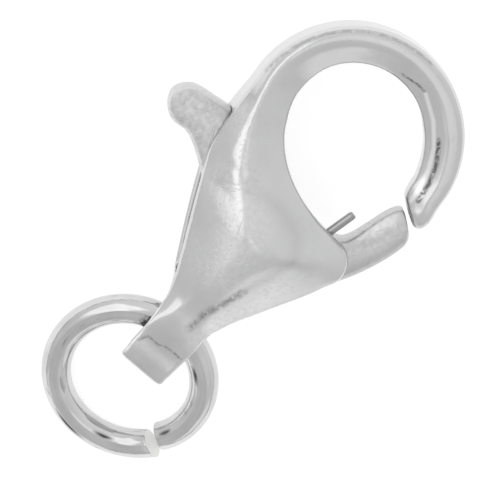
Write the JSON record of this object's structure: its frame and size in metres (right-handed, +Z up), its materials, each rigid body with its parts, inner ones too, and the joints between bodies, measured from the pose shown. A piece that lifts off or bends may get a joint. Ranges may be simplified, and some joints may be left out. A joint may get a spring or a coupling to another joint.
{
  "type": "lobster clasp",
  "caption": "Claw-shaped jewellery clasp with a round hook, a thumb lever that opens a sprung gate, and a cut wire ring in the eye of its tail.",
  "frame": {"origin": "middle of the bounding box, on the surface that the clasp lies on", "axes": "+X along the clasp from the jump ring to the hook's end, +Y to the thumb tab's side, +Z up off the surface"},
  "size_m": [0.0148, 0.0078, 0.0035],
  "materials": {
    "silver": "polished cast silver, lightly scuffed",
    "spring_steel": "drawn wire, satin"
  },
  "bodies": {
    "clasp": {"claw": "silver", "pivot_pin": "silver", "spring": "spring_steel"},
    "gate_lever": {"lever": "silver"},
    "ring": {"jump_ring": "silver"}
  },
  "joints": [
    {"name": "lever_swing", "type": "hinge", "parent": "clasp", "child": "gate_lever", "pos_m": [0.00034, -0.00106, 0.00175], "axis": [0, 0, 1], "range_deg": [0, 28], "stiffness_Nm_per_rad": 0.004, "springref_deg": -28.65, "deforming": ["spring"]},
    {"name": "ring_swing", "type": "hinge", "parent": "clasp", "child": "ring", "pos_m": [-0.00301, -0.00074, 0.00175], "axis": [0, 1, 0], "range_deg": [-68, 102]}
  ]
}
